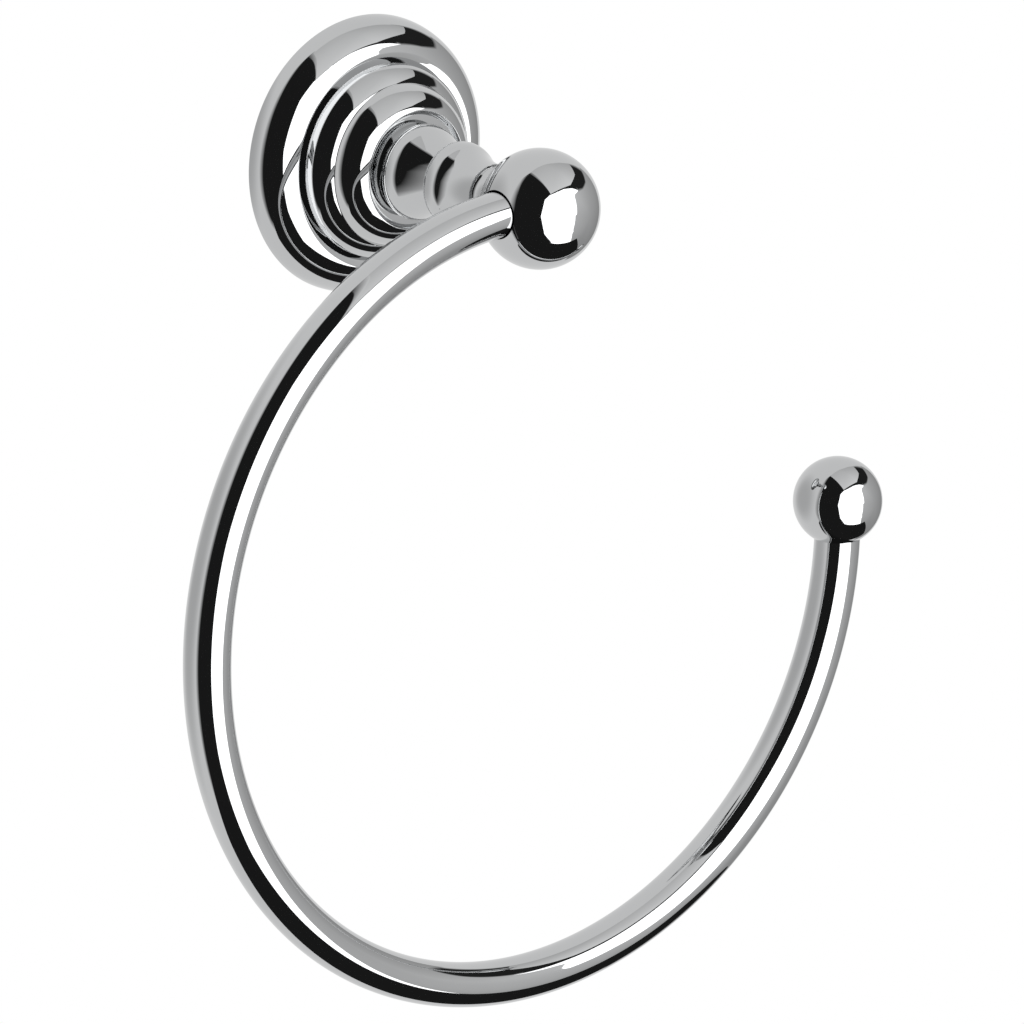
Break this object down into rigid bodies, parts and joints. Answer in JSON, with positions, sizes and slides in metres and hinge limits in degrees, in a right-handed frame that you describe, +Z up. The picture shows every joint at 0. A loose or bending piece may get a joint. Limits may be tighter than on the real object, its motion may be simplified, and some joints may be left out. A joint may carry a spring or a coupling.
{
  "type": "towel ring",
  "caption": "Chromed open towel ring: a bent bar with a ball on its free end, held by a ball on a turned post and a stepped round wall rose.",
  "frame": {"origin": "middle of the rose on the wall, on the axis of the post", "axes": "+Y into the wall along the post's axis, the part stands out towards -Y, +Z up, +X to the right of someone facing the wall"},
  "size_m": [0.1864, 0.0738, 0.2049],
  "materials": {
    "chrome": "polished chrome plate on brass",
    "zinc_steel": "zinc plated"
  },
  "bodies": {
    "root": {"wall_plate": "zinc_steel", "wall_rose": "chrome", "rose_grub_screw": "zinc_steel", "post": "chrome", "tie_stud": "zinc_steel", "tie_nut": "zinc_steel", "tie_washer": "zinc_steel", "holder_ball": "chrome", "ring_rod": "chrome", "finial_ball": "chrome"}
  },
  "joints": []
}
